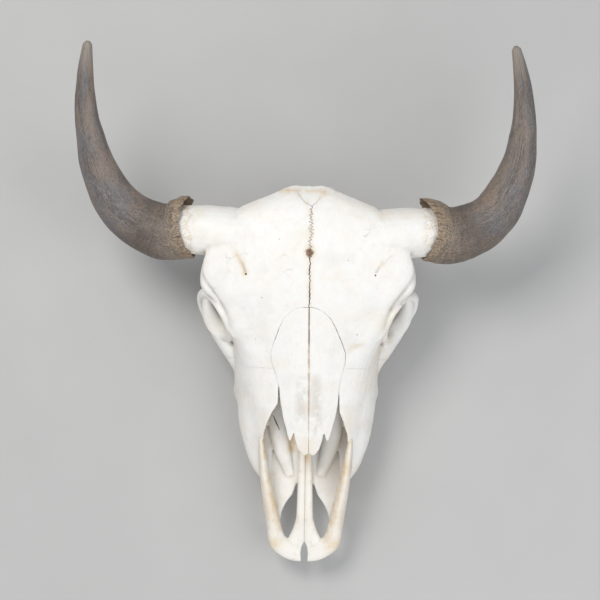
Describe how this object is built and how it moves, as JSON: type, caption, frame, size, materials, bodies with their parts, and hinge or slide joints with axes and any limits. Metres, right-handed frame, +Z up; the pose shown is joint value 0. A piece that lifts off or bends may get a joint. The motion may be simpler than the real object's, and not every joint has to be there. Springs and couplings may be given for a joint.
{
  "type": "bison skull",
  "caption": "Bleached bull bison skull without its lower jaw, lying face up on its cheek teeth, with long upswept horn sheaths.",
  "frame": {"origin": "centre of the whole outline, on the surface that the skull rests on", "axes": "+Z up out of the forehead, +Y towards the crown and the horn tips, -Y towards the muzzle, +X towards the horn that the picture shows on its right"},
  "size_m": [0.6323, 0.7247, 0.2658],
  "materials": {
    "bone": "bleached dry bone, matt",
    "aged_bone": "cream bone with tan stains, matt",
    "horn": "weathered grey brown horn, striped lengthwise"
  },
  "bodies": {
    "root": {"cranium": "bone", "horn_left": "horn", "horn_right": "horn", "maxilla_left": "bone", "maxilla_right": "bone", "nasal_left": "bone", "nasal_right": "bone", "premaxilla_left": "aged_bone", "premaxilla_right": "aged_bone", "vomer": "bone", "zygomatic_left": "bone", "zygomatic_right": "bone"}
  },
  "joints": []
}
